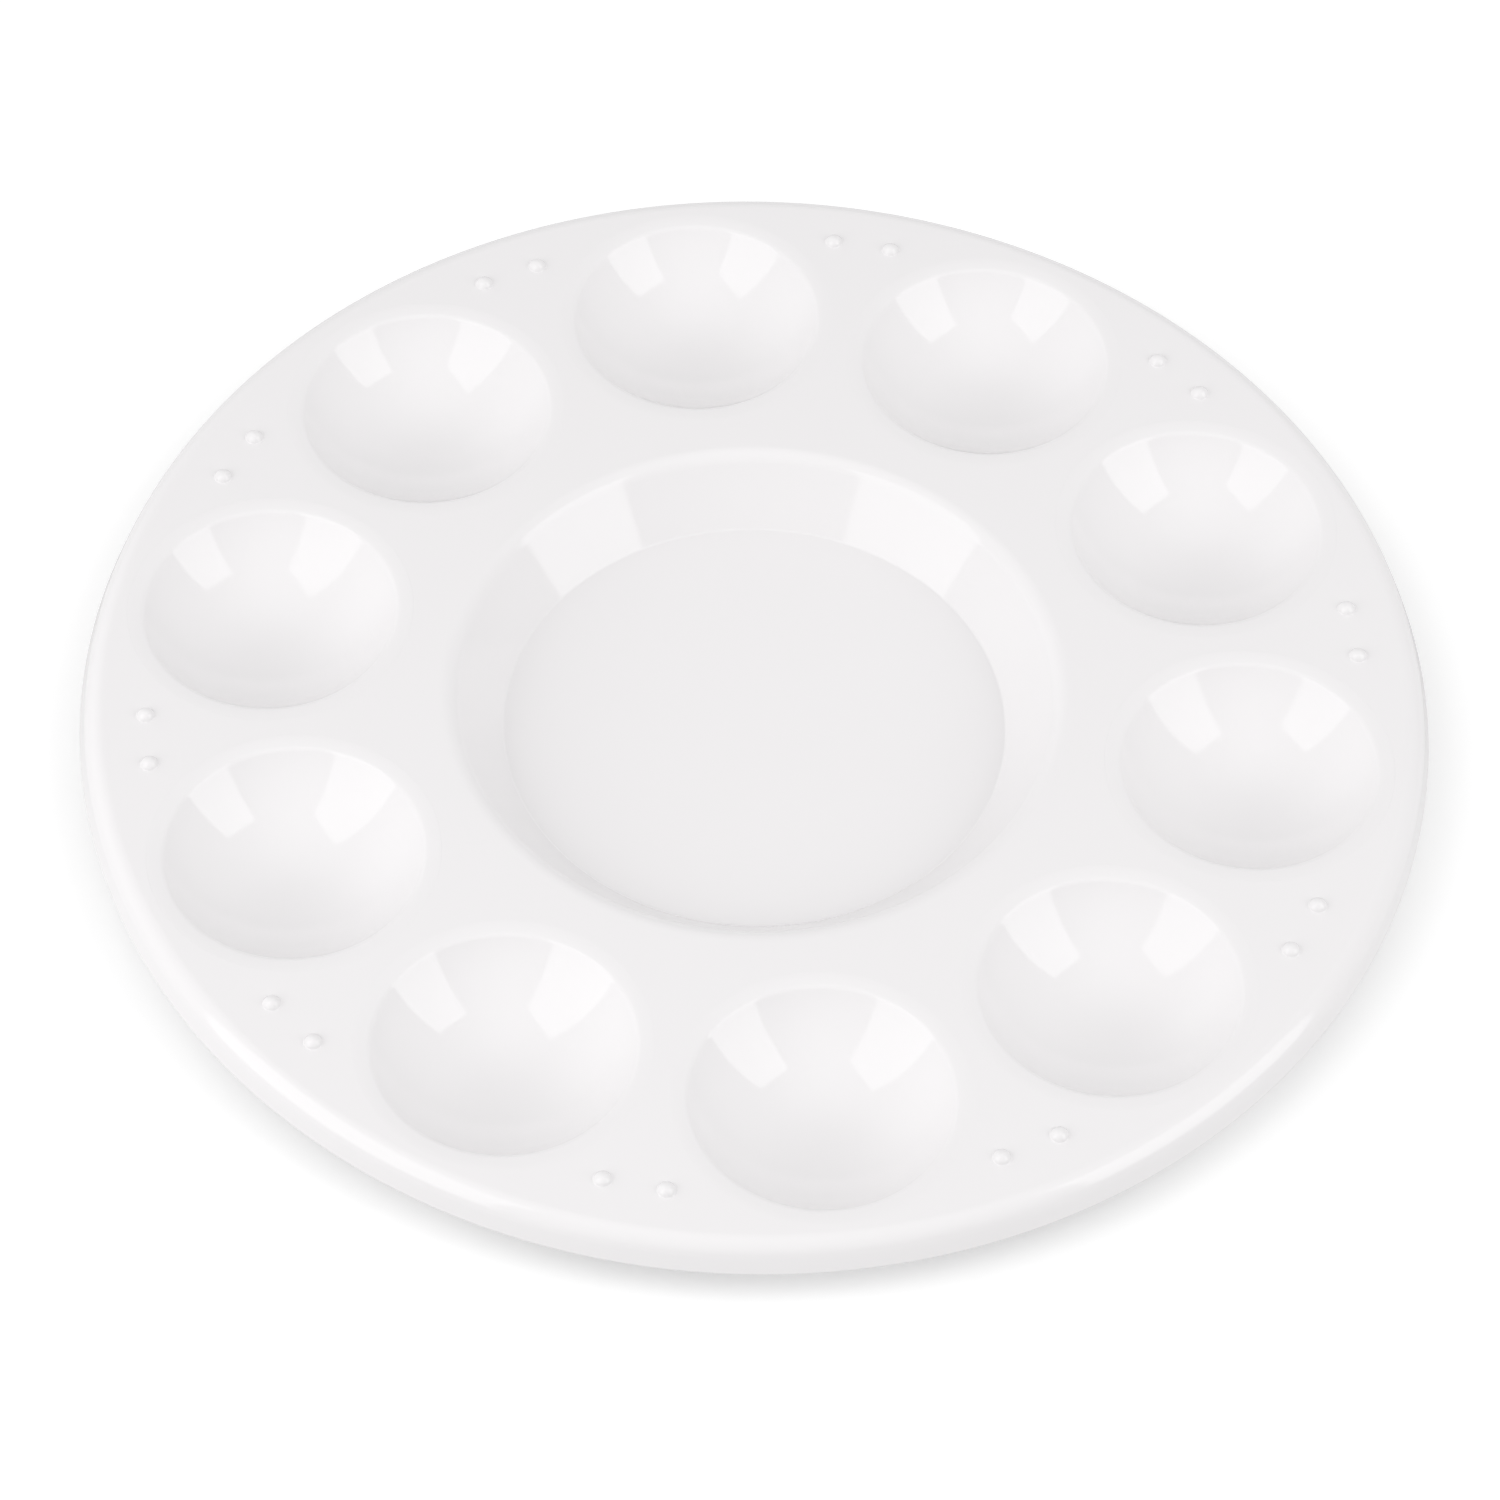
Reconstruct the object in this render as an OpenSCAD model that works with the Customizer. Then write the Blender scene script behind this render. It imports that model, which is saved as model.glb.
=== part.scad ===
// Round paint palette: a ring of small bowls round a wide mixing dish, moulded in one wall
// thickness. Each region of the moulding is a closed solid that meets its neighbours face to face.
// The origin is on the resting plane, under the middle of the mixing dish, with +Z up.

/* [Body] */
// Outer diameter, across the skirt's bottom edge
overall_d = 171; // [168:0.5:210]
// Thickness of the moulded wall
wall = 1.4; // [1:0.1:1.8]

/* [Rim] */
// Height of the skirt, from the deck's top to the skirt's bottom edge
skirt_h = 4.2; // [3.5:0.1:6]
// Lean of the skirt, outwards going down, in degrees from vertical
skirt_lean = 20; // [5:1:30]
// Radius of the rounded shoulder between deck and skirt
shoulder_r = 2.8; // [1.5:0.1:2.9]
// Width of the flat land that the rim piece has inside its shoulder
shoulder_land = 0.2; // [0.1:0.1:0.5]
// Radius of the skirt's bottom outer edge
skirt_edge_r = 0.4; // [0.2:0.1:0.5]

/* [Paint wells] */
// Number of paint wells
well_count = 10; // [5:1:10]
// Diameter of a well's mouth, where the bowl would meet the deck with a sharp edge
well_d = 32.8; // [24:0.2:33.6]
// Depth of a well below the deck
well_depth = 7.4; // [5:0.1:7.5]
// Radius of the rounded edge at a well's mouth
well_edge_r = 1.25; // [0.8:0.05:1.6]
// Width of the shallow apron round a well, from its mouth to the faint crease on the deck
apron_w = 1.8; // [1.4:0.1:2.1]
// Radius of the apron's gentle curve down into the well
apron_r = 13; // [8:0.5:20]
// Slope of the apron at the crease, in degrees from horizontal
apron_slope = 3; // [0:0.5:5]
// Width of the rim between a well's apron and the outside of the palette
rim_w = 4.35; // [4.3:0.05:6]

/* [Mixing well] */
// Diameter of the mixing well's flat floor
mix_floor_d = 64; // [40:0.5:68]
// Depth of the mixing well below the deck
mix_depth = 7.7; // [7.6:0.1:12]
// Slope of the mixing well's wall, in degrees from horizontal
mix_slope = 50; // [45:1:70]
// Radius of the rounded edge between deck and wall
mix_edge_r = 3; // [1.5:0.1:3.5]
// Radius of the inner corner between wall and floor
mix_corner_r = 0.5; // [0.3:0.1:1]
// Radius of the outer corner round the resting face
foot_corner_r = 1; // [0.5:0.1:2]

/* [Marker pips] */
// Diameter of a pip at its base
pip_d = 2.3; // [1.6:0.1:2.8]
// Height of a pip above the deck
pip_h = 0.8; // [0.4:0.1:1.1]
// Distance between the two pips of a pair
pip_spacing = 7.7; // [4:0.1:10]
// Distance of the pips from the outside of the palette
pip_inset = 8.7; // [7.5:0.1:9.5]

/* [Hidden] */
$fn = 180;
// Direction of the first well, towards the user
first_angle = -90;
// Angle from one well to the next
pitch_angle = 360 / well_count;
// Height of the deck's top over the resting plane
deck_z = mix_depth + wall;
// Overlap that makes regions of one profile a single outline
join = 0.2;

// Rim, as radii of the palette
overall_r = overall_d / 2;
shoulder_corner_r = overall_r - skirt_h * tan(skirt_lean);
shoulder_start_r = shoulder_corner_r - shoulder_r * tan((90 - skirt_lean) / 2);
skirt_inner_bottom_r = overall_r - wall / cos(skirt_lean);
skirt_inner_top_r = skirt_inner_bottom_r - (skirt_h - wall) * tan(skirt_lean);
deck_outer_r = min(shoulder_start_r, skirt_inner_top_r) - shoulder_land;

// Paint wells, as radii round a well's own axis
bowl_r = (pow(well_d / 2, 2) + pow(well_depth, 2)) / (2 * well_depth);
bowl_centre_z = bowl_r - well_depth;
bowl_centre = [0, bowl_centre_z];
well_outer_r = well_d / 2 + apron_w;
apron_centre = [well_outer_r + apron_r * sin(apron_slope), -apron_r * cos(apron_slope)];
well_edge_centre = circles_meet(bowl_centre, bowl_r + well_edge_r, apron_centre, apron_r - well_edge_r);
bowl_tangent = bowl_centre + (well_edge_centre - bowl_centre) * bowl_r / (bowl_r + well_edge_r);
apron_tangent = apron_centre + (well_edge_centre - apron_centre) * apron_r / (apron_r - well_edge_r);
well_pitch_r = overall_r - rim_w - well_outer_r;

// Mixing well, as radii of the palette
mix_floor_r = mix_floor_d / 2;
mix_corner_top_r = mix_floor_r + mix_depth / tan(mix_slope);
mix_outer_r = mix_corner_top_r + mix_edge_r * tan(mix_slope / 2);
mix_back_shift = wall * tan(mix_slope / 2);

// Marker pips
pip_ball_r = (pow(pip_d / 2, 2) + pow(pip_h, 2)) / (2 * pip_h);
pip_circle_r = overall_r - pip_inset;
pip_half_angle = asin(pip_spacing / 2 / pip_circle_r);

function numbered(name, i) = str(name, i < 10 ? "_0" : "_", i);

// Direction of well i, and of the pip pair that follows it
function well_angle(i) = first_angle + (i - 1) * pitch_angle;
function pip_angle(i) = well_angle(i) + pitch_angle / 2;

// A point at distance d from p in direction a
function step(p, a, d) = p + d * [cos(a), sin(a)];

// Where two circles meet, on the left of the way from the first centre to the second
function circles_meet(p, rp, q, rq) =
    let (
        d = norm(q - p),
        ahead = (q - p) / d,
        along = (rp * rp - rq * rq + d * d) / (2 * d)
    )
    p + along * ahead + sqrt(rp * rp - along * along) * [-ahead[1], ahead[0]];

// The sliver between a corner and the arc that rounds it. The two sides leave the corner in
// directions a and b, and the arc touches each of them.
module corner_sliver(corner, a, b, r) {
    half = abs(b - a) / 2;
    reach = r / tan(half);
    centre = step(corner, (a + b) / 2, r / sin(half));
    difference() {
        polygon([corner, step(corner, a, reach), centre, step(corner, b, reach)]);
        translate(centre) circle(r);
    }
}

// Everything is drawn from the deck's top down, so this lifts it on to the resting plane
module from_deck() {
    translate([0, 0, deck_z]) children();
}

module at_well(i) {
    rotate(well_angle(i)) translate([well_pitch_r, 0]) children();
}

module deck_plate() {
    color("white") from_deck() translate([0, 0, -wall]) linear_extrude(wall) difference() {
        circle(deck_outer_r);
        circle(mix_outer_r);
        for (i = [1:well_count]) at_well(i) circle(well_outer_r);
    }
}

module rim_profile() {
    difference() {
        polygon([
            [deck_outer_r, -wall],
            [skirt_inner_top_r, -wall],
            [skirt_inner_bottom_r, -skirt_h],
            [overall_r, -skirt_h],
            [shoulder_corner_r, 0],
            [deck_outer_r, 0]
        ]);
        corner_sliver([shoulder_corner_r, 0], 180, 270 + skirt_lean, shoulder_r);
        corner_sliver([overall_r, -skirt_h], 90 + skirt_lean, 180, skirt_edge_r);
    }
}

module rim_skirt() {
    color("white") from_deck() rotate_extrude() rim_profile();
}

module mixing_well_profile() {
    difference() {
        polygon([
            [0, -mix_depth - wall],
            [mix_floor_r + mix_back_shift, -mix_depth - wall],
            [mix_corner_top_r + mix_back_shift - wall / tan(mix_slope), -wall],
            [mix_outer_r, -wall],
            [mix_outer_r, 0],
            [mix_corner_top_r, 0],
            [mix_floor_r, -mix_depth],
            [0, -mix_depth]
        ]);
        corner_sliver([mix_corner_top_r, 0], -180 + mix_slope, 0, mix_edge_r);
        corner_sliver([mix_floor_r + mix_back_shift, -mix_depth - wall], mix_slope, 180, foot_corner_r);
    }
    corner_sliver([mix_floor_r, -mix_depth], mix_slope, 180, mix_corner_r);
}

module mixing_well() {
    color("white") from_deck() rotate_extrude() mixing_well_profile();
}

// Half section of a bowl round its own axis. The apron, the rounded edge and the bowl each touch
// the next, so the wall turns down without a corner.
module paint_well_profile() {
    difference() {
        union() {
            translate([0, -wall]) square([well_outer_r, wall]);
            intersection() {
                translate(bowl_centre) circle(bowl_r + wall);
                translate([0, -well_depth - wall]) square([well_outer_r, well_depth + join]);
            }
        }
        translate(bowl_centre) circle(bowl_r);
        difference() {
            polygon([
                [0, bowl_tangent[1]],
                bowl_tangent,
                apron_tangent,
                [apron_tangent[0], wall],
                [0, wall]
            ]);
            translate(well_edge_centre) circle(well_edge_r);
        }
        difference() {
            polygon([
                apron_tangent,
                [well_outer_r, 0],
                [well_outer_r, wall],
                [apron_tangent[0], wall]
            ]);
            translate(apron_centre) circle(apron_r);
        }
    }
}

module paint_well(i) {
    color("white") from_deck() at_well(i) rotate_extrude() paint_well_profile();
}

module pip() {
    intersection() {
        translate([0, 0, pip_h - pip_ball_r]) sphere(pip_ball_r);
        translate([-pip_d, -pip_d, 0]) cube([2 * pip_d, 2 * pip_d, pip_d]);
    }
}

module pip_pair(i) {
    color("white") from_deck() for (side = [-1, 1])
        rotate(pip_angle(i) + side * pip_half_angle) translate([pip_circle_r, 0]) pip();
}

deck_plate();
rim_skirt();
mixing_well();
for (i = [1:well_count]) {
    paint_well(i);
}
for (i = [1:well_count]) {
    pip_pair(i);
}
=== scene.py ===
"""Looks of a round, glossy white paint palette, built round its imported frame.

The palette is a single moulding. Its regions are built here as closed shells that share their
boundary circles point for point, with normals worked out from the curves themselves, so that the
gloss runs over the joins without a line. Every size is in metres, in the frame's own axes.
"""

import logging
import math
from dataclasses import dataclass, field
from enum import Enum
from typing import Sequence

import bpy
import numpy as np
from mathutils import Matrix, Vector


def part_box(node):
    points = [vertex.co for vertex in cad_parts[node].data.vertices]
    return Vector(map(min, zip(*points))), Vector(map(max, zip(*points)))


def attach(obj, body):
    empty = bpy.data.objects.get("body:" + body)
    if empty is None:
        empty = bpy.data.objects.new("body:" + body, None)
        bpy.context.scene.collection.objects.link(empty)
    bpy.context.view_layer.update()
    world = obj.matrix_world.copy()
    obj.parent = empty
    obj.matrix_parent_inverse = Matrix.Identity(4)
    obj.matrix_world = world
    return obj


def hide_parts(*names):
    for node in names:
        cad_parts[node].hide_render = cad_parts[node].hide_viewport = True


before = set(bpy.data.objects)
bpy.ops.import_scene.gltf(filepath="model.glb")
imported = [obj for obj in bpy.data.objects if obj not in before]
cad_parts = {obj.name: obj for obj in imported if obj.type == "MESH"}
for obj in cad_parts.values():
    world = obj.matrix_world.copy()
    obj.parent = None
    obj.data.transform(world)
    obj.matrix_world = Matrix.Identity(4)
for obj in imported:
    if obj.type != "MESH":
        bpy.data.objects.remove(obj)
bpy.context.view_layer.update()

log = logging.getLogger("palette")

MM = 0.001
QUARTER = math.pi / 2
FULL_TURN = 2 * math.pi
WELD = 1e-7
MIDDLE = np.zeros(2)
WHITE = (1.0, 1.0, 1.0, 1.0)
ROOT_BODY = "root"
WELL_PREFIX = "paint_well_"
PIP_PREFIX = "pip_pair_"


# ---------------------------------------------------------------- outlines


@dataclass(frozen=True)
class Stretch:
    """A smooth stretch of a half section, with its outward normals.

    Args:
        points: radius and height of each point, one row a point.
        normals: unit normal at each point, pointing out of the plastic.
    """

    points: np.ndarray
    normals: np.ndarray


@dataclass(frozen=True)
class Corner:
    """A corner of an outline, rounded to a radius, or sharp where the radius is nought."""

    radius_out: float
    height: float
    rounding: float = 0.0

    @property
    def place(self) -> np.ndarray:
        """The corner as a point of the half section."""
        return np.array([self.radius_out, self.height])


def straight(start: np.ndarray, end: np.ndarray, steps: int = 1) -> Stretch:
    """A straight stretch; its normal is its direction turned a quarter to the left.

    Args:
        start: first point.
        end: last point.
        steps: how many equal parts it has.

    Returns:
        The stretch, with the plastic on its right.
    """
    share = np.linspace(0.0, 1.0, steps + 1)[:, None]
    along = (end - start) / np.linalg.norm(end - start)
    normal = np.array([-along[1], along[0]])
    return Stretch(start + share * (end - start), np.tile(normal, (steps + 1, 1)))


def arc(centre: np.ndarray, radius: float, start: float, end: float, steps: int) -> Stretch:
    """A circular stretch: centre plus radius times the cosine and sine of a sweeping angle.

    Args:
        centre: middle of the circle.
        radius: its radius.
        start: first angle in radians.
        end: last angle; an arc that sweeps clockwise bulges out of the plastic.
        steps: how many equal parts it has.

    Returns:
        The stretch, with the plastic on its right.
    """
    angle = np.linspace(start, end, steps + 1)
    spoke = np.stack([np.cos(angle), np.sin(angle)], axis=1)
    return Stretch(centre + radius * spoke, spoke if end < start else -spoke)


def rounded_corner(before: np.ndarray, corner: Corner, after: np.ndarray, steps: int) -> Stretch:
    """The arc that rounds a corner: it touches both sides at rounding over tan(half the angle).

    Args:
        before: the outline's point before the corner.
        corner: the corner itself.
        after: the point after it.
        steps: how many parts the arc has.

    Returns:
        The arc, in the direction of travel.
    """
    back = (before - corner.place) / np.linalg.norm(before - corner.place)
    ahead = (after - corner.place) / np.linalg.norm(after - corner.place)
    half = math.acos(float(np.clip(back @ ahead, -1.0, 1.0))) / 2
    middle = (back + ahead) / np.linalg.norm(back + ahead)
    centre = corner.place + middle * corner.rounding / math.sin(half)
    reach = corner.rounding / math.tan(half)
    first = corner.place + back * reach - centre
    last = corner.place + ahead * reach - centre
    start = math.atan2(first[1], first[0])
    sweep = math.atan2(first[0] * last[1] - first[1] * last[0], float(first @ last))
    return arc(centre, corner.rounding, start, start + sweep, steps)


def circles_meet(
    first: np.ndarray, first_radius: float, second: np.ndarray, second_radius: float
) -> np.ndarray:
    """Where two circles meet, on the left of the way from the first centre to the second.

    The chord's foot lies along that way at (first radius squared - second radius squared +
    distance squared) over twice the distance; the meeting point is off it by Pythagoras.

    Args:
        first: centre of the first circle.
        first_radius: its radius.
        second: centre of the second circle.
        second_radius: its radius.

    Returns:
        The meeting point.
    """
    distance = float(np.linalg.norm(second - first))
    ahead = (second - first) / distance
    along = (first_radius**2 - second_radius**2 + distance**2) / (2 * distance)
    off = math.sqrt(first_radius**2 - along**2)
    return first + along * ahead + off * np.array([-ahead[1], ahead[0]])


def outline(corners: Sequence[Corner], steps: int = 8) -> list[Stretch]:
    """An open outline through corners, its inner corners rounded where they say so.

    Args:
        corners: the outline's corners in order, with the plastic on the right.
        steps: parts of each rounding arc.

    Returns:
        Straight stretches and arcs in turn, each starting where the last ended.
    """
    stretches: list[Stretch] = []
    pen = corners[0].place
    for before, corner, after in zip(corners, corners[1:], corners[2:]):
        if corner.rounding:
            bend = rounded_corner(before.place, corner, after.place, steps)
            stretches += [straight(pen, bend.points[0]), bend]
            pen = bend.points[-1]
        else:
            stretches.append(straight(pen, corner.place))
            pen = corner.place
    stretches.append(straight(pen, corners[-1].place))
    return stretches


# ---------------------------------------------------------------- meshes


@dataclass
class Shell:
    """Points, four-cornered faces and a normal for each face's corner, gathered for one piece."""

    points: list[np.ndarray] = field(default_factory=list)
    faces: list[np.ndarray] = field(default_factory=list)
    normals: list[np.ndarray] = field(default_factory=list)
    count: int = 0

    def add(self, points: np.ndarray, faces: np.ndarray, normals: np.ndarray) -> None:
        """Adds one patch.

        Args:
            points: its points, three numbers a row.
            faces: four indices a row into those points.
            normals: a normal for each face and corner, shaped faces by 4 by 3.
        """
        self.points.append(points)
        self.faces.append(faces + self.count)
        self.normals.append(normals)
        self.count += len(points)

    def make(self, name: str, finish: bpy.types.Material) -> bpy.types.Object:
        """Welds the patches, closes their poles and makes the object.

        Points that agree to a ten-thousandth of a millimetre become one, and a face's corner that
        repeats its neighbour is dropped, which turns the quads round a pole into triangles.

        Args:
            name: the piece's name.
            finish: its material.

        Returns:
            The new object, at the origin.
        """
        points = np.concatenate(self.points)
        faces = np.concatenate(self.faces)
        normals = np.concatenate(self.normals).reshape(-1, 3)
        keys = np.round(points / WELD).astype(np.int64)
        _, first, same = np.unique(keys, axis=0, return_index=True, return_inverse=True)
        faces = same.reshape(-1)[faces]
        keep = faces != np.roll(faces, 1, axis=1)
        sizes = keep.sum(axis=1)
        solid = sizes >= 3
        keep &= solid[:, None]
        sizes = sizes[solid]
        mesh = bpy.data.meshes.new(name)
        mesh.vertices.add(len(first))
        mesh.vertices.foreach_set("co", points[first].astype(np.float32).ravel())
        mesh.loops.add(int(sizes.sum()))
        mesh.loops.foreach_set("vertex_index", faces[keep].astype(np.int32))
        mesh.polygons.add(len(sizes))
        starts = np.concatenate([[0], np.cumsum(sizes)[:-1]])
        mesh.polygons.foreach_set("loop_start", starts.astype(np.int32))
        mesh.update(calc_edges=True)
        mesh.normals_split_custom_set(normals[keep.ravel()].tolist())
        mesh.materials.append(finish)
        piece = bpy.data.objects.new(name, mesh)
        bpy.context.scene.collection.objects.link(piece)
        return piece


def grid_faces(rows: int, columns: int, closed: bool) -> np.ndarray:
    """Faces of a grid of points, one row of indices a face.

    Args:
        rows: rows of points.
        columns: points in a row.
        closed: whether the last column joins the first.

    Returns:
        The four corners of each face: here, next row, next row and column, next column.
    """
    row = np.arange(rows - 1)[:, None]
    column = np.arange(columns if closed else columns - 1)[None, :]
    after = (column + 1) % columns
    corners = [
        row * columns + column,
        (row + 1) * columns + column,
        (row + 1) * columns + after,
        row * columns + after,
    ]
    return np.stack([np.broadcast_to(c, (rows - 1, column.size)) for c in corners], -1).reshape(-1, 4)


def revolve(shell: Shell, stretches: Sequence[Stretch], angles: np.ndarray, axis: np.ndarray) -> None:
    """Turns a half section about an upright axis: the axis plus the radius times cosine and sine.

    Args:
        shell: gathers the faces.
        stretches: the half section, plastic on the right going out from the axis on top.
        angles: directions of the turned copies, in radians, going once round.
        axis: x and y of the axis.
    """
    around = np.stack([np.cos(angles), np.sin(angles)], axis=1)
    for stretch in stretches:
        radius, height = stretch.points[:, 0], stretch.points[:, 1]
        flat = axis + radius[:, None, None] * around[None]
        level = np.broadcast_to(height[:, None, None], flat.shape[:2] + (1,))
        points = np.concatenate([flat, level], axis=2)
        lean = stretch.normals[:, 0][:, None, None] * around[None]
        rise = np.broadcast_to(stretch.normals[:, 1][:, None, None], level.shape)
        normals = np.concatenate([lean, rise], axis=2).reshape(-1, 3)
        faces = grid_faces(len(radius), len(angles), closed=True)
        shell.add(points.reshape(-1, 3), faces, normals[faces])


def circle_angles(count: int, first: float = 0.0) -> np.ndarray:
    """Directions of equal steps once round, in radians, starting at first."""
    return first + np.arange(count) * (FULL_TURN / count)


def turned_piece(
    name: str,
    finish: bpy.types.Material,
    section: Sequence[Stretch],
    angles: np.ndarray,
    axes: Sequence[np.ndarray] = (MIDDLE,),
) -> bpy.types.Object:
    """Makes a piece by turning one section about one or more upright axes.

    Args:
        name: the piece's name.
        finish: its material.
        section: the half section.
        angles: directions of the turned copies, in radians.
        axes: x and y of each axis; the palette's own by default.

    Returns:
        The piece.
    """
    shell = Shell()
    for axis in axes:
        revolve(shell, section, angles, axis)
    return shell.make(name, finish)


# ---------------------------------------------------------------- finishes


def new_group(name: str, outputs: Sequence[str]) -> bpy.types.NodeTree:
    """Starts a shader node group with named number outputs.

    Args:
        name: the group's name.
        outputs: names of the values that it puts out.

    Returns:
        The group, holding only its output node, named Out.
    """
    group = bpy.data.node_groups.new(name, "ShaderNodeTree")
    for output in outputs:
        group.interface.new_socket(output, in_out="OUTPUT", socket_type="NodeSocketFloat")
    group.nodes.new("NodeGroupOutput").name = "Out"
    return group


@dataclass(frozen=True)
class Pattern:
    """A cloudy pattern on Object coordinates.

    Args:
        per_metre: how many features fit in a metre.
        octaves: how many finer layers it has.
        roughness: strength of the finer layers.
    """

    per_metre: float
    octaves: float
    roughness: float = 0.5

    def place(self, tree: bpy.types.NodeTree) -> bpy.types.Node:
        """Puts the pattern into a tree.

        Args:
            tree: where it goes.

        Returns:
            The noise node.
        """
        coordinates = tree.nodes.new("ShaderNodeTexCoord")
        texture = tree.nodes.new("ShaderNodeTexNoise")
        texture.inputs["Scale"].default_value = self.per_metre
        texture.inputs["Detail"].default_value = self.octaves
        texture.inputs["Roughness"].default_value = self.roughness
        tree.links.new(coordinates.outputs["Object"], texture.inputs["Vector"])
        return texture


def moulded_surface_group() -> bpy.types.NodeTree:
    """The marks that moulding leaves on glossy plastic, as three values.

    Waves is the slow unevenness of a cooled wall, Grain the faint breath of a polished tool, and
    Flow the cloudy change of tone where the melt ran.
    """
    marks = {
        "Waves": Pattern(per_metre=70.0, octaves=1.0),
        "Grain": Pattern(per_metre=1400.0, octaves=2.0),
        "Flow": Pattern(per_metre=26.0, octaves=3.0, roughness=0.6),
    }
    group = new_group("moulded_surface", list(marks))
    for name, pattern in marks.items():
        texture = pattern.place(group)
        group.links.new(texture.outputs["Fac"], group.nodes["Out"].inputs[name])
    return group


def specks_group(
    per_metre: float = 260.0, rarity: float = 0.992, core: float = 0.02, edge: float = 0.045
) -> bpy.types.NodeTree:
    """Sparse dark specks in the plastic: one where a scattered cell's centre is close by.

    Cells a few millimetres wide each hold a point; a random number of the cell keeps only a few,
    and the mask is 1 within a tenth of a millimetre or so of such a point.

    Args:
        per_metre: how many cells fit in a metre.
        rarity: share of the cells that have no speck.
        core: distance from the point, in cells, within which a speck is full.
        edge: distance at which it ends.

    Returns:
        The group, which puts out Mask.
    """
    group = new_group("specks", ["Mask"])
    place = group.nodes.new("ShaderNodeTexCoord")
    cells = group.nodes.new("ShaderNodeTexVoronoi")
    cells.inputs["Scale"].default_value = per_metre
    group.links.new(place.outputs["Object"], cells.inputs["Vector"])
    split = group.nodes.new("ShaderNodeSeparateColor")
    group.links.new(cells.outputs["Color"], split.inputs["Color"])
    chosen = group.nodes.new("ShaderNodeMath")
    chosen.operation = "GREATER_THAN"
    chosen.inputs[1].default_value = rarity
    group.links.new(split.outputs["Red"], chosen.inputs[0])
    near = group.nodes.new("ShaderNodeMapRange")
    near.inputs["From Min"].default_value = edge
    near.inputs["From Max"].default_value = core
    group.links.new(cells.outputs["Distance"], near.inputs["Value"])
    both = group.nodes.new("ShaderNodeMath")
    both.operation = "MULTIPLY"
    group.links.new(chosen.outputs[0], both.inputs[0])
    group.links.new(near.outputs["Result"], both.inputs[1])
    group.links.new(both.outputs[0], group.nodes["Out"].inputs["Mask"])
    return group


@dataclass(frozen=True)
class GlossPlastic:
    """White gloss plastic as it leaves a polished mould."""

    name: str = "white_gloss_plastic"
    colour: tuple[float, float, float] = (0.878, 0.862, 0.870)
    deep_colour: tuple[float, float, float] = (0.866, 0.848, 0.854)
    speck_colour: tuple[float, float, float] = (0.25, 0.19, 0.15)
    ior: float = 1.5
    smooth: float = 0.05
    worn: float = 0.10
    flow_low: float = 0.3
    flow_high: float = 0.7
    wave_depth: float = 0.022 * MM
    grain_depth: float = 0.0005 * MM

    def make(self) -> bpy.types.Material:
        """Builds the material.

        Returns:
            The material: flow marks and specks in the colour, tool breath in the roughness, and
            waves and grain in the normal.
        """
        material = bpy.data.materials.new(self.name)
        material.use_nodes = True
        tree = material.node_tree
        shader = tree.nodes["Principled BSDF"]
        shader.inputs["IOR"].default_value = self.ior
        marks = tree.nodes.new("ShaderNodeGroup")
        marks.node_tree = moulded_surface_group()
        specks = tree.nodes.new("ShaderNodeGroup")
        specks.node_tree = specks_group()
        tone = self._mix(tree, marks.outputs["Flow"], self.colour, self.deep_colour)
        spotted = self._mix(tree, specks.outputs["Mask"], tone, self.speck_colour)
        tree.links.new(spotted, shader.inputs["Base Color"])
        polish = tree.nodes.new("ShaderNodeMapRange")
        polish.inputs["From Min"].default_value = self.flow_low
        polish.inputs["From Max"].default_value = self.flow_high
        polish.inputs["To Min"].default_value = self.smooth
        polish.inputs["To Max"].default_value = self.worn
        tree.links.new(marks.outputs["Flow"], polish.inputs["Value"])
        tree.links.new(polish.outputs["Result"], shader.inputs["Roughness"])
        waves = self._bump(tree, marks.outputs["Waves"], self.wave_depth)
        grain = self._bump(tree, marks.outputs["Grain"], self.grain_depth)
        tree.links.new(waves.outputs["Normal"], grain.inputs["Normal"])
        tree.links.new(grain.outputs["Normal"], shader.inputs["Normal"])
        return material

    @staticmethod
    def _mix(
        tree: bpy.types.NodeTree,
        share: bpy.types.NodeSocket,
        under: bpy.types.NodeSocket | tuple[float, float, float],
        over: tuple[float, float, float],
    ) -> bpy.types.NodeSocket:
        """Mixes a colour over another.

        Args:
            tree: where the node goes.
            share: socket that gives how much of the second colour shows.
            under: the first colour, or a socket that gives it.
            over: the second colour.

        Returns:
            The socket that gives the mixed colour.
        """
        node = tree.nodes.new("ShaderNodeMix")
        node.data_type = "RGBA"
        tree.links.new(share, node.inputs["Factor"])
        colour_a, colour_b = (socket for socket in node.inputs if socket.type == "RGBA")
        if isinstance(under, tuple):
            colour_a.default_value = (*under, 1.0)
        else:
            tree.links.new(under, colour_a)
        colour_b.default_value = (*over, 1.0)
        return next(socket for socket in node.outputs if socket.type == "RGBA")

    @staticmethod
    def _bump(tree: bpy.types.NodeTree, height: bpy.types.NodeSocket, depth: float) -> bpy.types.Node:
        """Adds a bump of a real depth.

        Args:
            tree: where it goes.
            height: what drives it, from 0 to 1.
            depth: its depth in metres, from the lowest height to the highest.

        Returns:
            The bump node.
        """
        node = tree.nodes.new("ShaderNodeBump")
        node.inputs["Strength"].default_value = 1.0
        node.inputs["Distance"].default_value = depth
        tree.links.new(height, node.inputs["Height"])
        return node


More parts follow.
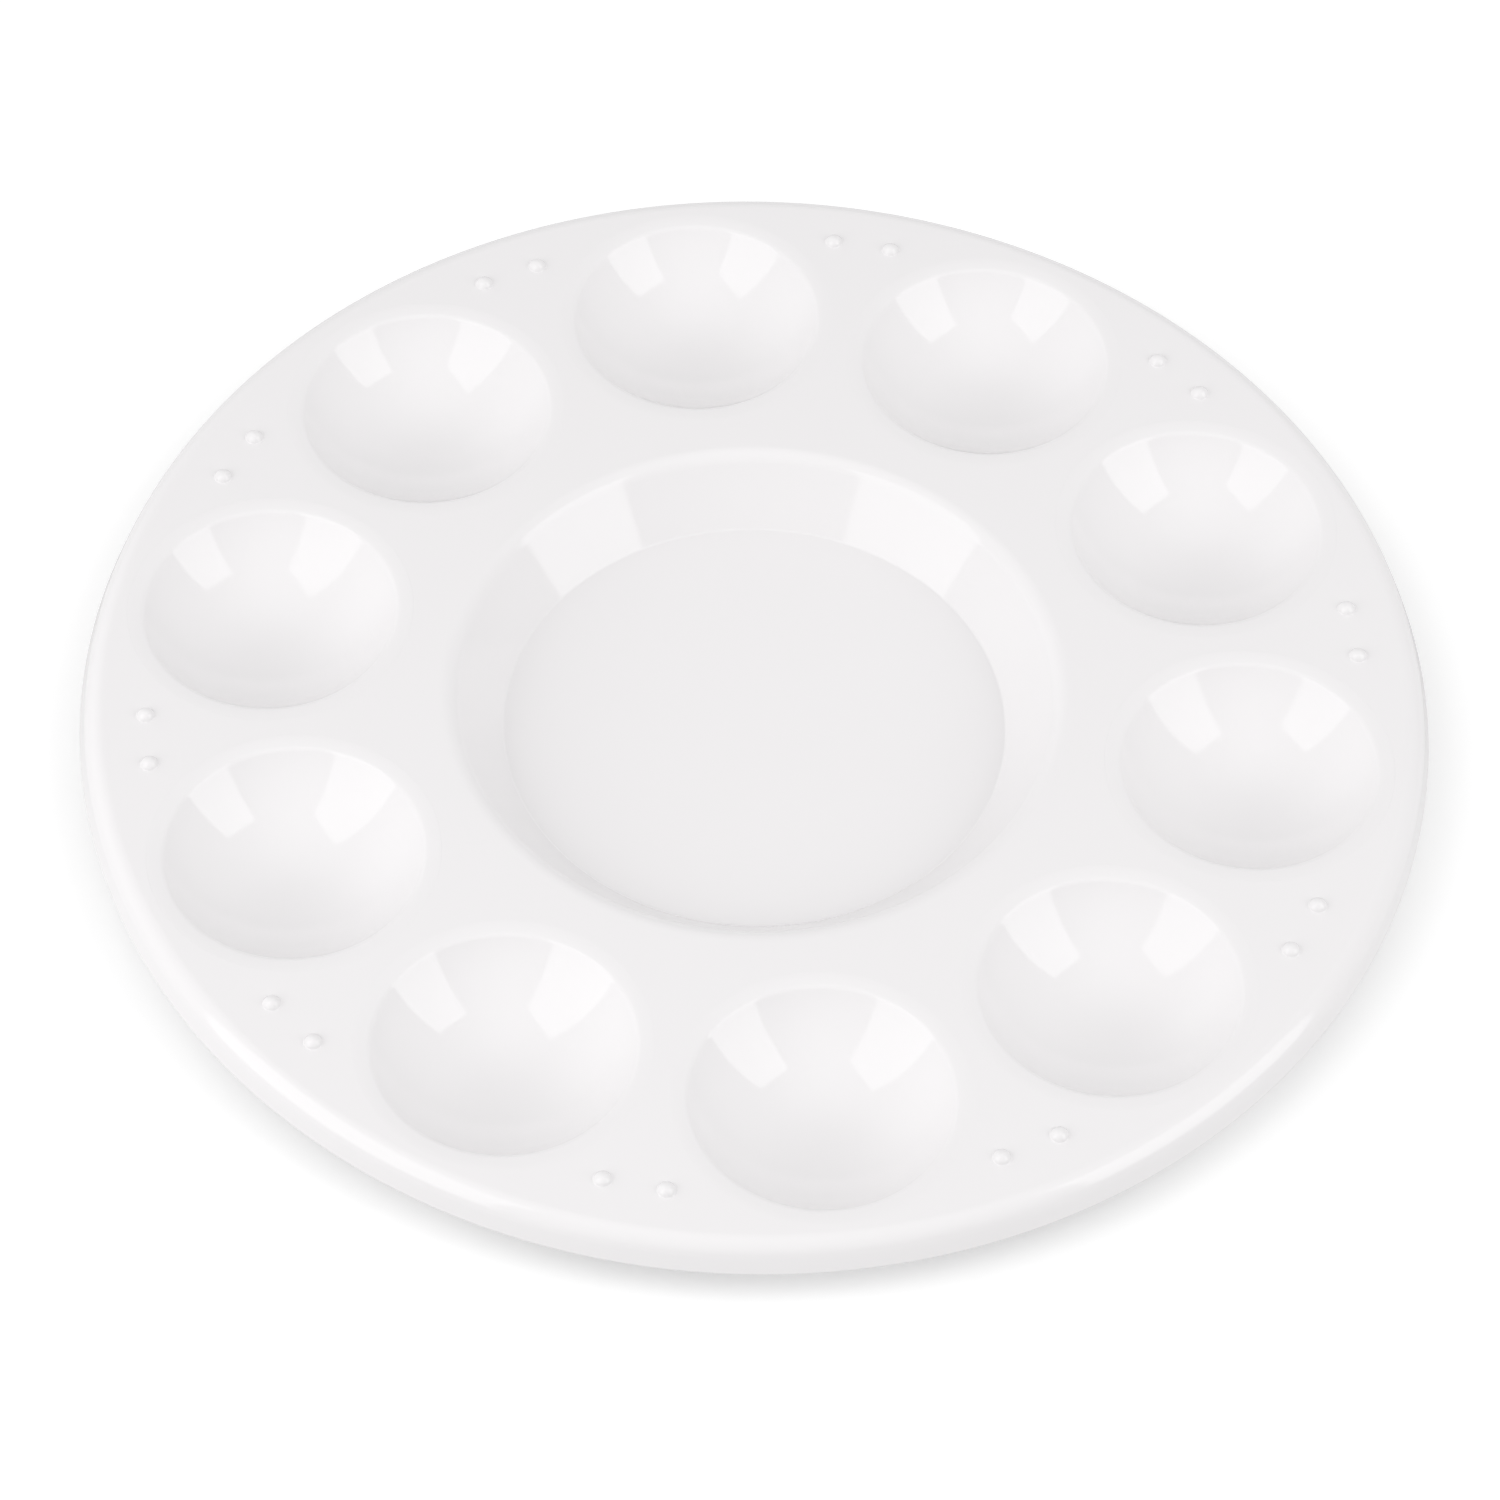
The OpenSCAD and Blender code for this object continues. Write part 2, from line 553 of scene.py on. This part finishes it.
@dataclass(frozen=True)
class PaleFloor:
    """Smooth matt white sweep under the palette."""

    name: str = "pale_floor"
    colour: tuple[float, float, float] = (0.80, 0.80, 0.80)
    roughness: float = 0.9
    glow: float = 0.32

    def make(self) -> bpy.types.Material:
        """Builds the floor's material.

        Returns:
            The material: it lights the palette's sides as a pale table does, and looks as bright
            as a sweep that is lit from behind.
        """
        material = bpy.data.materials.new(self.name)
        material.use_nodes = True
        tree = material.node_tree
        shader = tree.nodes["Principled BSDF"]
        shader.inputs["Base Color"].default_value = (*self.colour, 1.0)
        shader.inputs["Roughness"].default_value = self.roughness
        shader.inputs["Specular IOR Level"].default_value = 0.0
        shader.inputs["Emission Color"].default_value = WHITE
        seen = tree.nodes.new("ShaderNodeLightPath")
        shown = tree.nodes.new("ShaderNodeMath")
        shown.operation = "MULTIPLY"
        shown.inputs[1].default_value = self.glow
        tree.links.new(seen.outputs["Is Camera Ray"], shown.inputs[0])
        tree.links.new(shown.outputs[0], shader.inputs["Emission Strength"])
        return material


# ---------------------------------------------------------------- the palette


def node_box(node: str) -> tuple[np.ndarray, np.ndarray]:
    """Lowest and highest corners of a node of the frame, as arrays."""
    low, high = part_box(node)
    return np.array(low), np.array(high)


def dress(piece: bpy.types.Object, node: str) -> None:
    """Makes a piece ride with the palette and stand for its node.

    Args:
        piece: the piece.
        node: the node that it stands for.
    """
    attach(piece, ROOT_BODY)
    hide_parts(node)
    log.info("%s: %d faces", piece.name, len(piece.data.polygons))


@dataclass(frozen=True)
class Body:
    """What all regions of the moulding share, read from the frame."""

    deck_top: float
    wall: float
    well_count: int

    @classmethod
    def measure(cls, nodes: Sequence[str]) -> "Body":
        """Reads the deck's level, the wall and the number of wells from the frame.

        Args:
            nodes: names of the frame's nodes.

        Returns:
            The shared sizes.
        """
        low, high = node_box("deck_plate")
        wells = sum(name.startswith(WELL_PREFIX) for name in nodes)
        return cls(deck_top=float(high[2]), wall=float(high[2] - low[2]), well_count=wells)

    @property
    def underside(self) -> float:
        """Height of the deck's lower face."""
        return self.deck_top - self.wall

    @property
    def pitch(self) -> float:
        """Angle from one well to the next."""
        return FULL_TURN / self.well_count


@dataclass
class PaintWell:
    """A small bowl with a rounded edge and a shallow apron that dips into it."""

    body: Body
    axis: np.ndarray
    outer: float
    floor: float
    mouth: float = 16.4 * MM
    edge_rounding: float = 1.25 * MM
    apron_curve: float = 13.0 * MM
    apron_slope: float = math.radians(3)
    root_rounding: float = 0.9 * MM
    samples: int = 192
    bowl_steps: int = 40
    edge_steps: int = 12
    apron_steps: int = 6
    root_steps: int = 8
    underside_steps: int = 32

    @classmethod
    def from_frame(cls, body: Body, node: str) -> "PaintWell":
        """Takes the well's axis, outer radius and lowest level from its node.

        Args:
            body: sizes that the regions share.
            node: the well's node.

        Returns:
            The well.
        """
        low, high = node_box(node)
        outer = float(max(high[:2] - low[:2])) / 2
        return cls(body, (low + high)[:2] / 2, outer=outer, floor=float(low[2]))

    @property
    def angles(self) -> np.ndarray:
        """Directions of the well's upright sections, starting away from the palette's middle."""
        return circle_angles(self.samples, math.atan2(self.axis[1], self.axis[0]))

    def section(self) -> list[Stretch]:
        """Half section of the bowl, from its lowest inner point out over the apron and back below.

        The inside is part of a sphere through the lowest point and the mouth. The apron is an arc
        that reaches the deck at a slight slope, and the edge's circle touches both, so its centre
        is where a circle round the sphere's centre meets one round the apron's.
        """
        deck = self.body.deck_top
        depth = deck - (self.floor + self.body.wall)
        ball = (self.mouth**2 + depth**2) / (2 * depth)
        ball_centre = np.array([0.0, deck - depth + ball])
        sine, cosine = math.sin(self.apron_slope), math.cos(self.apron_slope)
        apron_centre = np.array([self.outer + self.apron_curve * sine, deck - self.apron_curve * cosine])
        edge_centre = circles_meet(
            ball_centre,
            ball + self.edge_rounding,
            apron_centre,
            self.apron_curve - self.edge_rounding,
        )
        bowl_way = edge_centre - ball_centre
        apron_way = edge_centre - apron_centre
        steep = math.atan2(bowl_way[0], -bowl_way[1])
        gentle = math.atan2(-apron_way[0], apron_way[1])
        steep_end, gentle_end, deck_end = (QUARTER + angle for angle in (steep, gentle, self.apron_slope))
        return [
            arc(ball_centre, ball, -QUARTER, -QUARTER + steep, self.bowl_steps),
            arc(edge_centre, self.edge_rounding, steep_end, gentle_end, self.edge_steps),
            arc(apron_centre, self.apron_curve, gentle_end, deck_end, self.apron_steps),
            *self._below(ball_centre, ball + self.body.wall),
        ]

    def _below(self, ball_centre: np.ndarray, ball: float) -> list[Stretch]:
        """The join's upright face and the underside, back to the axis.

        The root's circle lies in the open air. It touches the deck's underside and the bowl's
        outer sphere, so its centre is that sphere's radius plus its own from the sphere's centre.

        Args:
            ball_centre: centre of the bowl's spheres.
            ball: radius of the outer sphere.

        Returns:
            The stretches, from the deck's top level down and in to the lowest point.
        """
        level = self.body.underside
        root_height = level - self.root_rounding
        drop = ball_centre[1] - root_height
        root_centre = np.array([math.sqrt((ball + self.root_rounding) ** 2 - drop**2), root_height])
        lean = math.atan2(root_centre[0], drop)
        outer_low = np.array([self.outer, level])
        return [
            straight(np.array([self.outer, self.body.deck_top]), outer_low),
            straight(outer_low, np.array([root_centre[0], level])),
            arc(root_centre, self.root_rounding, QUARTER, QUARTER + lean, self.root_steps),
            arc(ball_centre, ball, -QUARTER + lean, -QUARTER, self.underside_steps),
        ]

    def build(self, name: str, finish: bpy.types.Material) -> bpy.types.Object:
        """Makes the well, turned about its own axis."""
        return turned_piece(name, finish, self.section(), self.angles, [self.axis])


@dataclass
class MixingWell:
    """The wide dish in the middle, with a flat floor."""

    body: Body
    outer: float
    samples: int
    floor_radius: float = 32.0 * MM
    slope: float = math.radians(50)
    edge_rounding: float = 3.0 * MM
    corner_rounding: float = 0.5 * MM
    foot_rounding: float = 1.0 * MM
    root_rounding: float = 1.0 * MM
    edge_steps: int = 14

    def section(self) -> list[Stretch]:
        """Half section of the dish, from the floor's middle out to the deck and back below."""
        deck, wall, below = self.body.deck_top, self.body.wall, self.body.underside
        floor = wall
        rim = self.floor_radius + (deck - floor) / math.tan(self.slope)
        shift = wall * math.tan(self.slope / 2)
        back_rim = rim + shift - wall / math.tan(self.slope)
        foot = self.floor_radius + shift
        upper = [
            Corner(0.0, floor),
            Corner(self.floor_radius, floor, self.corner_rounding),
            Corner(rim, deck, self.edge_rounding),
            Corner(self.outer, deck),
        ]
        lower = [
            Corner(self.outer, below),
            Corner(back_rim, below, self.root_rounding),
            Corner(foot, 0.0, self.foot_rounding),
            Corner(0.0, 0.0),
        ]
        side = straight(upper[-1].place, lower[0].place)
        return [*outline(upper, self.edge_steps), side, *outline(lower)]

    def build(self, name: str, finish: bpy.types.Material) -> bpy.types.Object:
        """Makes the dish."""
        return turned_piece(name, finish, self.section(), circle_angles(self.samples))


@dataclass
class RimSkirt:
    """The rounded shoulder and the short, leaning skirt."""

    body: Body
    inner: float
    outer: float
    lowest: float
    samples: int
    lean: float = math.radians(20)
    shoulder_rounding: float = 2.8 * MM
    edge_rounding: float = 0.4 * MM
    inner_edge_rounding: float = 0.25 * MM
    root_rounding: float = 0.6 * MM
    edge_steps: int = 12

    def section(self) -> list[Stretch]:
        """Closed section of the rim, from the deck over the shoulder, down and back inside."""
        deck, wall, below = self.body.deck_top, self.body.wall, self.body.underside
        shoulder = self.outer - (deck - self.lowest) * math.tan(self.lean)
        inner_low = self.outer - wall / math.cos(self.lean)
        inner_top = inner_low - (below - self.lowest) * math.tan(self.lean)
        corners = [
            Corner(self.inner, deck),
            Corner(shoulder, deck, self.shoulder_rounding),
            Corner(self.outer, self.lowest, self.edge_rounding),
            Corner(inner_low, self.lowest, self.inner_edge_rounding),
            Corner(inner_top, below, min(self.root_rounding, inner_top - self.inner)),
            Corner(self.inner, below),
        ]
        side = straight(corners[-1].place, corners[0].place)
        return [*outline(corners, self.edge_steps), side]

    def build(self, name: str, finish: bpy.types.Material) -> bpy.types.Object:
        """Makes the rim."""
        return turned_piece(name, finish, self.section(), circle_angles(self.samples))


@dataclass
class DeckPlate:
    """The flat ring between rim and mixing well, with a round hole for every bowl."""

    body: Body
    well: PaintWell
    inner: float
    outer: float
    inner_steps: int = 28
    outer_steps: int = 64
    side_steps: int = 50
    rings: int = 6

    @property
    def inner_samples(self) -> int:
        """Points of the whole inner circle."""
        return self.inner_steps * self.body.well_count

    @property
    def outer_samples(self) -> int:
        """Points of the whole outer circle."""
        return self.outer_steps * self.body.well_count

    def _sector_edge(self) -> np.ndarray:
        """The outline of one well's sector, going round with the well's own points.

        It starts straight outwards on the outer circle, runs round that arc, in along one side,
        back round the inner arc, out along the other side and back to its start.

        Returns:
            Points in the plane, with the well's direction along +X.
        """
        half = self.body.pitch / 2
        ring = np.linspace(0.0, half, self.outer_steps // 2 + 1)
        outer_up = self.outer * np.stack([np.cos(ring), np.sin(ring)], 1)
        side = np.linspace(self.outer, self.inner, self.side_steps + 1)[1:-1, None]
        side_up = side * np.array([math.cos(half), math.sin(half)])
        core = np.linspace(half, -half, self.inner_steps + 1)
        inner_arc = self.inner * np.stack([np.cos(core), np.sin(core)], 1)
        mirror = np.array([1.0, -1.0])
        return np.concatenate(
            [outer_up, side_up, inner_arc, side_up[::-1] * mirror, (outer_up[1:] * mirror)[::-1]]
        )

    def build(self, name: str, finish: bpy.types.Material) -> bpy.types.Object:
        """Makes the plate: each sector's rings run evenly from its hole out to its outline.

        Args:
            name: the piece's name.
            finish: its material.

        Returns:
            The piece, with upright faces in its holes and at both its edges.
        """
        shell = Shell()
        pitch_radius = float(np.hypot(*self.well.axis))
        first = math.atan2(self.well.axis[1], self.well.axis[0])
        around = circle_angles(self.well.samples)
        hole = np.stack([np.cos(around), np.sin(around)], 1) * self.well.outer
        hole[:, 0] += pitch_radius
        share = np.linspace(0.0, 1.0, self.rings + 1)[:, None, None]
        plane = hole[None] + share * (self._sector_edge() - hole)[None]
        for turn in first + np.arange(self.body.well_count) * self.body.pitch:
            spin = np.array([[math.cos(turn), math.sin(turn)], [-math.sin(turn), math.cos(turn)]])
            self._add_faces(shell, plane @ spin)
        for radius, count, outwards in (
            (self.inner, self.inner_samples, False),
            (self.outer, self.outer_samples, True),
        ):
            high = np.array([radius, self.body.deck_top])
            low = np.array([radius, self.body.underside])
            edge = straight(high, low) if outwards else straight(low, high)
            revolve(shell, [edge], circle_angles(count, first), MIDDLE)
        return shell.make(name, finish)

    def _add_faces(self, shell: Shell, plane: np.ndarray) -> None:
        """Adds one sector's top, underside and the upright face of its hole.

        Args:
            shell: gathers the faces.
            plane: the sector's points, ring by ring from the hole outwards.
        """
        faces = grid_faces(plane.shape[0], plane.shape[1], closed=True)
        for level, up in ((self.body.deck_top, 1.0), (self.body.underside, -1.0)):
            heights = np.full(plane.shape[:2] + (1,), level)
            points = np.concatenate([plane, heights], 2).reshape(-1, 3)
            normals = np.zeros((len(faces), 4, 3))
            normals[..., 2] = up
            shell.add(points, faces if up > 0 else faces[:, ::-1], normals)
        rim = plane[0]
        middle = rim.mean(axis=0)
        inwards = (middle - rim) / np.linalg.norm(middle - rim, axis=1)[:, None]
        levels = np.array([self.body.underside, self.body.deck_top])
        walls = np.concatenate(
            [np.tile(rim, (2, 1)), np.repeat(levels, len(rim))[:, None]], axis=1
        )
        lean = np.tile(np.concatenate([inwards, np.zeros((len(rim), 1))], axis=1), (2, 1))
        hole_faces = grid_faces(2, len(rim), closed=True)
        shell.add(walls, hole_faces, lean[hole_faces])


@dataclass
class PipPair:
    """Two small domes on the deck, each with a soft foot."""

    body: Body
    centres: np.ndarray
    base_radius: float = 1.15 * MM
    height: float = 0.8 * MM
    foot_rounding: float = 0.22 * MM
    sunk: float = 0.05 * MM
    samples: int = 48
    cap_steps: int = 14
    foot_steps: int = 6

    @classmethod
    def from_frame(cls, body: Body, node: str) -> "PipPair":
        """Finds the two domes of a node from its points: those on either side of its middle.

        Args:
            body: sizes that the regions share.
            node: the pair's node.

        Returns:
            The pair.
        """
        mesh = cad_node(node).data
        points = np.empty(len(mesh.vertices) * 3)
        mesh.vertices.foreach_get("co", points)
        flat = points.reshape(-1, 3)[:, :2]
        low, high = node_box(node)
        middle = (low[:2] + high[:2]) / 2
        along = np.array([-middle[1], middle[0]])
        side = (flat - middle) @ along > 0
        halves = [flat[side], flat[~side]]
        centres = np.array([(half.min(axis=0) + half.max(axis=0)) / 2 for half in halves])
        return cls(body, centres)

    def section(self) -> list[Stretch]:
        """Half section of a dome: a ball's cap, with a small hollow curve down to the deck.

        The foot's circle touches the cap and the deck, so its centre is the ball's radius plus its
        own from the ball's centre. The foot's edge sinks a little, so no gap shows.
        """
        deck = self.body.deck_top
        ball = (self.base_radius**2 + self.height**2) / (2 * self.height)
        ball_centre = np.array([0.0, deck + self.height - ball])
        foot_height = deck + self.foot_rounding
        rise = foot_height - ball_centre[1]
        spread = math.sqrt((ball + self.foot_rounding) ** 2 - rise**2)
        lean = math.atan2(rise, spread)
        foot_centre = np.array([spread, foot_height])
        low = np.array([spread, deck - self.sunk])
        return [
            arc(ball_centre, ball, QUARTER, lean, self.cap_steps),
            arc(foot_centre, self.foot_rounding, 2 * QUARTER + lean, 3 * QUARTER, self.foot_steps),
            straight(np.array([spread, deck]), low),
            straight(low, np.array([0.0, low[1]])),
        ]

    def build(self, name: str, finish: bpy.types.Material) -> bpy.types.Object:
        """Makes both domes as one piece, each turned about its own axis."""
        return turned_piece(name, finish, self.section(), circle_angles(self.samples), self.centres)


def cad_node(node: str) -> bpy.types.Object:
    """The frame's own object for a node."""
    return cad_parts[node]


class Palette:
    """The whole palette, region by region."""

    def __init__(self, nodes: Sequence[str], finish: bpy.types.Material) -> None:
        """Measures the frame.

        Args:
            nodes: names of the frame's nodes.
            finish: the plastic that every region is made of.
        """
        self.finish = finish
        self.body = Body.measure(nodes)
        self.wells = {
            name: PaintWell.from_frame(self.body, name)
            for name in sorted(nodes)
            if name.startswith(WELL_PREFIX)
        }
        self.pips = {
            name: PipPair.from_frame(self.body, name)
            for name in sorted(nodes)
            if name.startswith(PIP_PREFIX)
        }
        deck_high = node_box("deck_plate")[1]
        mix_high = node_box("mixing_well")[1]
        rim_low, rim_high = node_box("rim_skirt")
        self.deck = DeckPlate(
            self.body,
            self.wells[f"{WELL_PREFIX}01"],
            inner=float(mix_high[0]),
            outer=float(deck_high[0]),
        )
        self.mixing_well = MixingWell(self.body, self.deck.inner, self.deck.inner_samples)
        self.rim = RimSkirt(
            self.body,
            inner=self.deck.outer,
            outer=float(rim_high[0]),
            lowest=float(rim_low[2]),
            samples=self.deck.outer_samples,
        )

    def build(self) -> None:
        """Builds every region and dresses it."""
        regions = {
            "deck_plate": self.deck,
            "rim_skirt": self.rim,
            "mixing_well": self.mixing_well,
            **self.wells,
            **self.pips,
        }
        for node, region in regions.items():
            dress(region.build(f"{node}_shell", self.finish), node)


# ---------------------------------------------------------------- the studio


class Side(Enum):
    """Which side of the table a softbox stands on, as seen from the camera."""

    LEFT = "left"
    RIGHT = "right"


@dataclass(frozen=True)
class Softbox:
    """A rectangular light, given by the middles of its top and bottom edges."""

    side: Side
    top: tuple[float, float, float]
    bottom: tuple[float, float, float]
    across: tuple[float, float, float]
    width: float
    radiance: float

    def place(self) -> bpy.types.Object:
        """Makes the light: its power is radiance times pi times its area.

        Returns:
            The light, facing the palette.
        """
        top, bottom = Vector(self.top), Vector(self.bottom)
        up = (top - bottom).normalized()
        back = Vector(self.across).cross(up).normalized()
        if back.dot(top + bottom) < 0:
            back.negate()
        right = up.cross(back)
        light = bpy.data.lights.new(f"softbox_{self.side.value}", "AREA")
        light.shape = "RECTANGLE"
        light.size = self.width
        light.size_y = (top - bottom).length
        light.energy = self.radiance * math.pi * light.size * light.size_y
        lamp = bpy.data.objects.new(light.name, light)
        turn = Matrix((right, up, back)).transposed().to_4x4()
        lamp.matrix_world = Matrix.Translation((top + bottom) / 2) @ turn
        bpy.context.scene.collection.objects.link(lamp)
        return lamp


@dataclass(frozen=True)
class Lobe:
    """A broad, soft patch of brighter or darker room.

    Its light falls off as the cosine of the angle from its middle, raised to a power.

    Args:
        towards: direction of its middle from the palette.
        power: how fast it falls off; higher is narrower.
        radiance: brightness at its middle, below nought where it darkens the room.
    """

    towards: tuple[float, float, float]
    power: float
    radiance: float


@dataclass(frozen=True)
class Surround:
    """The room round the table: even light with soft patches over it."""

    even: float = 0.17
    lobes: tuple[Lobe, ...] = (
        Lobe((0.0, 0.0, 1.0), 6.0, 0.88),
        Lobe((0.0, 0.62, 0.78), 14.0, -0.35),
        Lobe((0.0, 1.0, 0.12), 8.0, 0.18),
        Lobe((-0.75, 0.6, 0.35), 6.0, 0.96),
        Lobe((0.75, 0.6, 0.35), 6.0, 0.44),
        Lobe((-1.0, -0.1, 0.25), 6.0, 0.54),
        Lobe((1.0, -0.1, 0.25), 6.0, 0.41),
        Lobe((-0.6, -0.8, 0.3), 6.0, 0.32),
        Lobe((0.6, -0.8, 0.3), 6.0, 0.13),
        Lobe((0.0, -1.0, 0.15), 8.0, -0.25),
        Lobe((0.0, -0.7, 0.7), 8.0, 0.44),
    )

    def make(self) -> bpy.types.World:
        """Builds the world.

        Returns:
            The world: its brightness is the even light plus every patch, and never below nought.
        """
        world = bpy.data.worlds.new("surround")
        world.use_nodes = True
        tree = world.node_tree
        place = tree.nodes.new("ShaderNodeTexCoord")
        facing = tree.nodes.new("ShaderNodeVectorMath")
        facing.operation = "NORMALIZE"
        tree.links.new(place.outputs["Object"], facing.inputs[0])
        total: bpy.types.NodeSocket | None = None
        for lobe in self.lobes:
            total = self._add(tree, facing.outputs[0], lobe, total)
        lit = tree.nodes.new("ShaderNodeMath")
        lit.operation = "MAXIMUM"
        lit.inputs[1].default_value = 0.0
        tree.links.new(total, lit.inputs[0])
        tree.links.new(lit.outputs[0], tree.nodes["Background"].inputs["Strength"])
        tree.nodes["Background"].inputs["Color"].default_value = WHITE
        return world

    def _add(
        self,
        tree: bpy.types.NodeTree,
        facing: bpy.types.NodeSocket,
        lobe: Lobe,
        total: bpy.types.NodeSocket | None,
    ) -> bpy.types.NodeSocket:
        """Adds a patch to the brightness so far.

        Args:
            tree: the world's nodes.
            facing: socket that gives the direction looked in, of length 1.
            lobe: the patch.
            total: socket that gives the brightness so far, or nothing for the first patch.

        Returns:
            The socket that gives the sum.
        """
        along = tree.nodes.new("ShaderNodeVectorMath")
        along.operation = "DOT_PRODUCT"
        along.inputs[1].default_value = Vector(lobe.towards).normalized()
        tree.links.new(facing, along.inputs[0])
        ahead = tree.nodes.new("ShaderNodeMath")
        ahead.operation = "MAXIMUM"
        ahead.inputs[1].default_value = 0.0
        tree.links.new(along.outputs["Value"], ahead.inputs[0])
        falling = tree.nodes.new("ShaderNodeMath")
        falling.operation = "POWER"
        falling.inputs[1].default_value = lobe.power
        tree.links.new(ahead.outputs[0], falling.inputs[0])
        added = tree.nodes.new("ShaderNodeMath")
        added.operation = "MULTIPLY_ADD"
        added.inputs[1].default_value = lobe.radiance
        tree.links.new(falling.outputs[0], added.inputs[0])
        if total is None:
            added.inputs[2].default_value = self.even
        else:
            tree.links.new(total, added.inputs[2])
        return added.outputs[0]


@dataclass(frozen=True)
class Viewpoint:
    """A camera on a long lens, looking down at the palette."""

    azimuth: float = math.radians(-8.46)
    elevation: float = math.radians(52.39)
    roll: float = math.radians(1.57)
    distance: float = 0.7204
    lens: float = 137.1
    sensor: float = 36.0
    target: tuple[float, float, float] = (-0.00154, -0.00698, 0.0049)

    def place(self) -> bpy.types.Object:
        """Makes the camera and gives it to the scene.

        Returns:
            The camera.
        """
        turned, raised = self.azimuth, self.elevation
        back = Vector(
            (
                math.sin(turned) * math.cos(raised),
                -math.cos(turned) * math.cos(raised),
                math.sin(raised),
            )
        )
        level = Vector((math.cos(turned), math.sin(turned), 0.0))
        upright = back.cross(level)
        right = math.cos(self.roll) * level + math.sin(self.roll) * upright
        up = math.cos(self.roll) * upright - math.sin(self.roll) * level
        camera = bpy.data.cameras.new("camera")
        camera.lens = self.lens
        camera.sensor_width = self.sensor
        seer = bpy.data.objects.new("camera", camera)
        turn = Matrix((right, up, back)).transposed().to_4x4()
        seer.matrix_world = Matrix.Translation(Vector(self.target) + back * self.distance) @ turn
        bpy.context.scene.collection.objects.link(seer)
        bpy.context.scene.camera = seer
        return seer


@dataclass(frozen=True)
class Studio:
    """Pale floor, soft surround, two softboxes and the camera."""

    floor_half: float = 3.0
    gamma: float = 1.2
    boxes: tuple[Softbox, ...] = (
        Softbox(
            Side.LEFT,
            top=(-0.366, -0.028, 0.874),
            bottom=(-0.455, -0.256, 0.112),
            across=(0.325, -0.916, 0.235),
            width=0.42,
            radiance=1.55,
        ),
        Softbox(
            Side.RIGHT,
            top=(0.565, -0.087, 1.020),
            bottom=(0.601, -0.399, 0.177),
            across=(0.733, 0.647, -0.209),
            width=0.48,
            radiance=1.95,
        ),
    )

    def build(self) -> None:
        """Makes the floor, the surround, the lights and the camera."""
        self._floor()
        bpy.context.scene.world = Surround().make()
        for box in self.boxes:
            log.info("%s", box.place().name)
        log.info("%s", Viewpoint().place().name)
        bpy.context.scene.view_settings.view_transform = "Standard"
        bpy.context.scene.view_settings.gamma = self.gamma

    def _floor(self) -> None:
        """Makes the floor at the level that the palette rests on."""
        reach = self.floor_half
        mesh = bpy.data.meshes.new("floor")
        corners = [(-reach, -reach, 0.0), (reach, -reach, 0.0), (reach, reach, 0.0), (-reach, reach, 0.0)]
        mesh.from_pydata(corners, [], [(0, 1, 2, 3)])
        mesh.materials.append(PaleFloor().make())
        floor = bpy.data.objects.new("floor", mesh)
        bpy.context.scene.collection.objects.link(floor)


def main() -> None:
    """Builds the palette and its studio."""
    logging.basicConfig(level=logging.INFO, format="%(name)s: %(message)s")
    Palette(list(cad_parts), GlossPlastic().make()).build()
    Studio().build()


if __name__ == "__main__":
    main()
